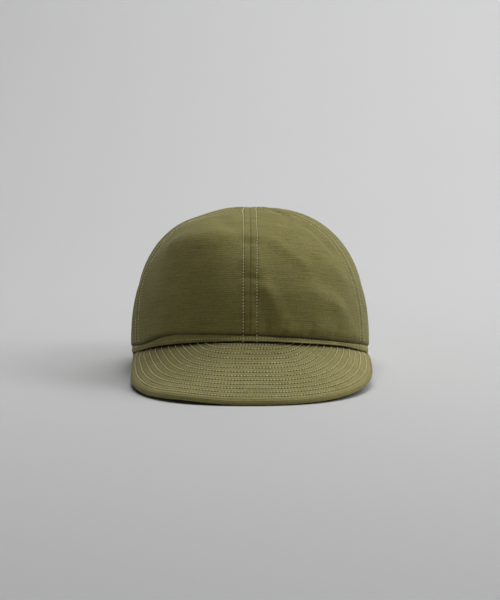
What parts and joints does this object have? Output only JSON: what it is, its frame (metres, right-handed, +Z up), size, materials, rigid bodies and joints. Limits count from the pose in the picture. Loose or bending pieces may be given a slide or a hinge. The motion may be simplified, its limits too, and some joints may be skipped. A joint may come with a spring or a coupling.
{
  "type": "mechanic cap",
  "caption": "Soft cloth cap with a paneled dome crown, a narrow turned hem and a short row-stitched visor, resting on its hem and visor.",
  "frame": {"origin": "middle of the footprint of the cap's bounding box, on the surface that the cap lies on", "axes": "+Z up, the visor points along -Y, +X is the wearer's left"},
  "size_m": [0.1696, 0.2514, 0.1127],
  "materials": {
    "crown_cloth": "matt olive ripstop cotton",
    "hem_cloth": "matt olive ripstop cotton, turned and stitched",
    "visor_cloth": "matt olive ripstop cotton, quilted by rows of stitching",
    "visor_under_cloth": "matt olive ripstop cotton",
    "thread": "matt pale olive sewing thread"
  },
  "bodies": {
    "root": {"crown_panel_front_left": "crown_cloth", "crown_panel_side_left": "crown_cloth", "crown_panel_back_left": "crown_cloth", "crown_panel_back_right": "crown_cloth", "crown_panel_side_right": "crown_cloth", "crown_panel_front_right": "crown_cloth", "hem_band": "hem_cloth", "visor_top": "visor_cloth", "visor_under": "visor_under_cloth"}
  },
  "joints": []
}
